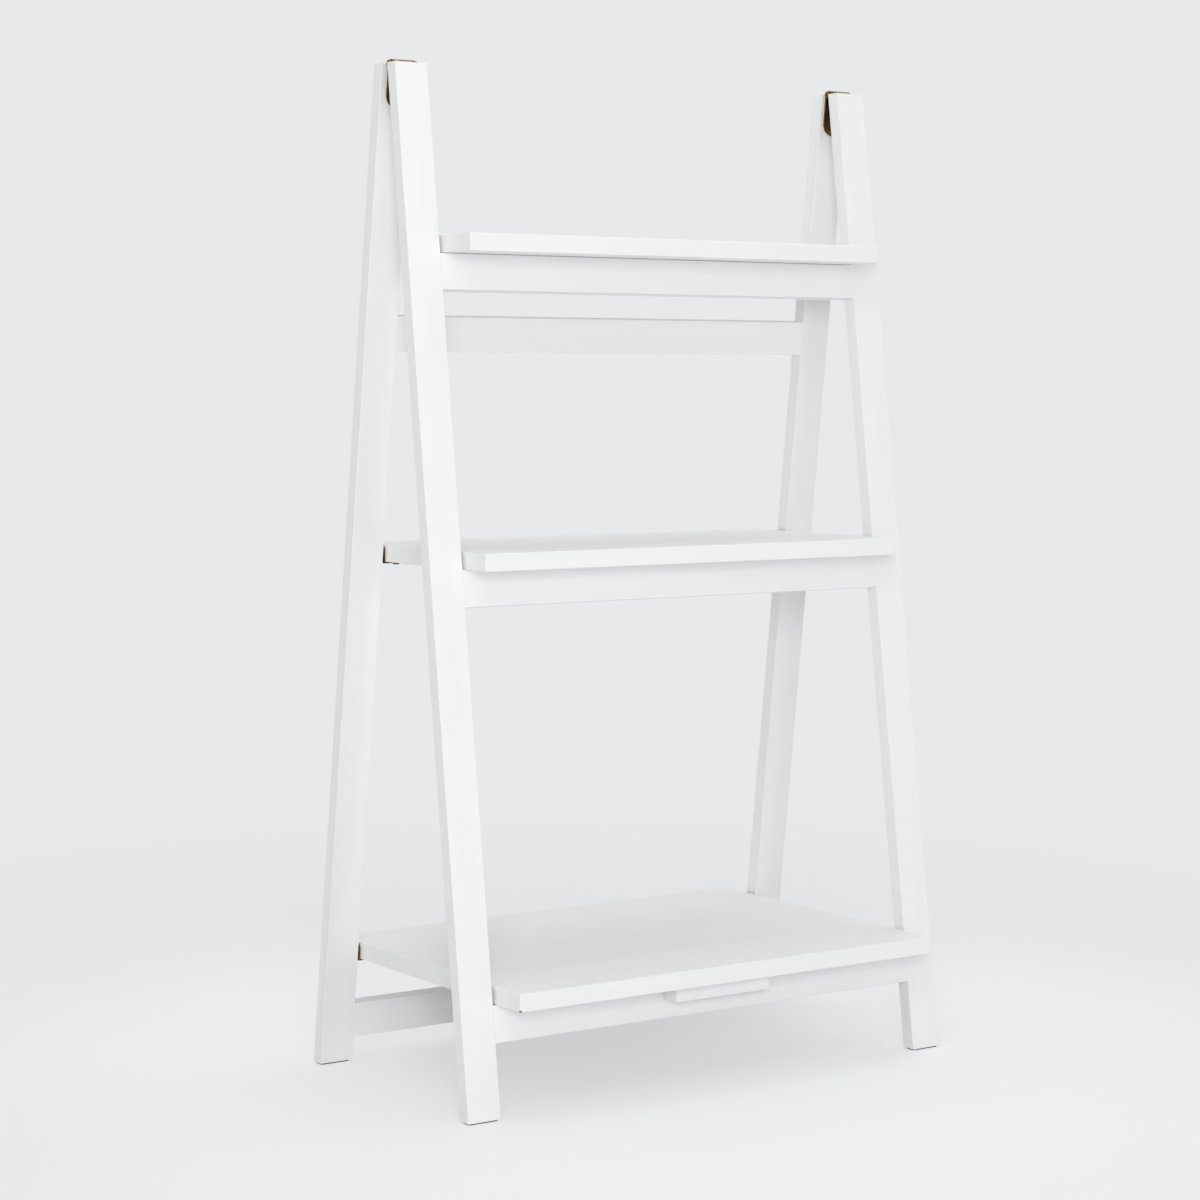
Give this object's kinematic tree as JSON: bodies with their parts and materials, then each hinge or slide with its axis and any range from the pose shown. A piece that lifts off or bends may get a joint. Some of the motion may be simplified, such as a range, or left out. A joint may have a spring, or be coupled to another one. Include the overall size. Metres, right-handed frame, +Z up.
{
  "type": "folding bookshelf",
  "caption": "Folding A-frame bookshelf: hinged ladder frames carry flip-up shelves, deeper towards the floor, on rear pivots and front rails.",
  "frame": {"origin": "on the floor, at the centre of the bookshelf's outline", "axes": "+Z up, X across the width, the front faces -Y"},
  "size_m": [0.6, 0.365, 1.0472],
  "materials": {
    "white_paint": "satin white paint",
    "bronze": "dark antique bronze",
    "bare_wood": "bare beech",
    "foot_pad": "matt dark pad"
  },
  "bodies": {
    "front_frame": {"bottom_front_rail": "white_paint", "front_frame_dowels": "bare_wood", "front_hinge_screws": "bronze", "front_left_foot_glide": "foot_pad", "front_left_leg": "white_paint", "front_right_foot_glide": "foot_pad", "front_right_leg": "white_paint", "left_hinge_front_leaf": "bronze", "middle_front_rail": "white_paint", "right_hinge_front_leaf": "bronze", "top_front_rail": "white_paint"},
    "bottom_shelf": {"bottom_shelf": "white_paint", "bottom_shelf_bracket_screws": "bronze", "bottom_shelf_left_bracket": "bronze", "bottom_shelf_right_bracket": "bronze", "lock_cleat": "white_paint", "lock_cleat_screws": "bronze"},
    "rear_frame": {"bottom_shelf_left_pivot_screw": "bronze", "bottom_shelf_right_pivot_screw": "bronze", "left_hinge_pin": "bronze", "left_hinge_rear_leaf": "bronze", "lower_rear_rail": "white_paint", "middle_shelf_left_pivot_screw": "bronze", "middle_shelf_right_pivot_screw": "bronze", "pivot_washers": "bronze", "rear_frame_dowels": "bare_wood", "rear_hinge_screws": "bronze", "rear_left_foot_glide": "foot_pad", "rear_left_leg": "white_paint", "rear_right_foot_glide": "foot_pad", "rear_right_leg": "white_paint", "right_hinge_pin": "bronze", "right_hinge_rear_leaf": "bronze", "top_shelf_left_pivot_screw": "bronze", "top_shelf_right_pivot_screw": "bronze", "upper_rear_rail": "white_paint"},
    "middle_shelf": {"middle_shelf": "white_paint", "middle_shelf_bracket_screws": "bronze", "middle_shelf_left_bracket": "bronze", "middle_shelf_right_bracket": "bronze"},
    "top_shelf": {"top_shelf": "white_paint", "top_shelf_bracket_screws": "bronze", "top_shelf_left_bracket": "bronze", "top_shelf_right_bracket": "bronze"}
  },
  "joints": [
    {"name": "frame_hinge", "type": "hinge", "parent": "rear_frame", "child": "front_frame", "pos_m": [0, 0.00594, 1.0432], "axis": [1, 0, 0], "range_deg": [0, 15]},
    {"name": "top_shelf_pivot", "type": "hinge", "parent": "rear_frame", "child": "top_shelf", "pos_m": [0, 0.04298, 0.8615], "axis": [-1, 0, 0], "range_deg": [0, 82.5]},
    {"name": "middle_shelf_pivot", "type": "hinge", "parent": "rear_frame", "child": "middle_shelf", "pos_m": [0, 0.08458, 0.5455], "axis": [-1, 0, 0], "range_deg": [0, 82.5]},
    {"name": "bottom_shelf_pivot", "type": "hinge", "parent": "rear_frame", "child": "bottom_shelf", "pos_m": [0, 0.14053, 0.1205], "axis": [-1, 0, 0], "range_deg": [0, 82.5]}
  ]
}
